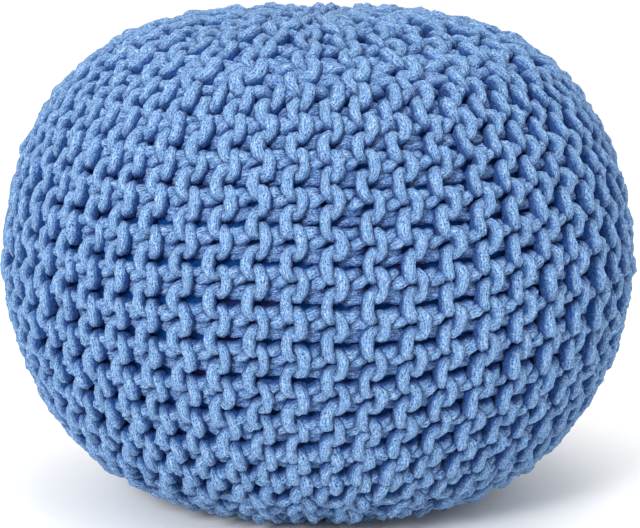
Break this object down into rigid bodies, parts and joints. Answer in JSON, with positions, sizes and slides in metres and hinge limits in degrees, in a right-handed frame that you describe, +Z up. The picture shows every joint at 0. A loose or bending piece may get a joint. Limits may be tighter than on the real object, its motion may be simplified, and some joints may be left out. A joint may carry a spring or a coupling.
{
  "type": "knitted pouf",
  "caption": "Round filled floor pouf with a flattened top and underside and a thick cord cover knitted in raised upright ridges, drawn in at the centre.",
  "frame": {"origin": "centre of the flat underside, on the floor", "axes": "+Z up through the drawn-in centre of the top"},
  "size_m": [0.4996, 0.4998, 0.3896],
  "materials": {
    "cord": "matte cotton cord, thick and softly braided, light blue"
  },
  "bodies": {
    "root": {"knitted_pouf": "cord"}
  },
  "joints": []
}
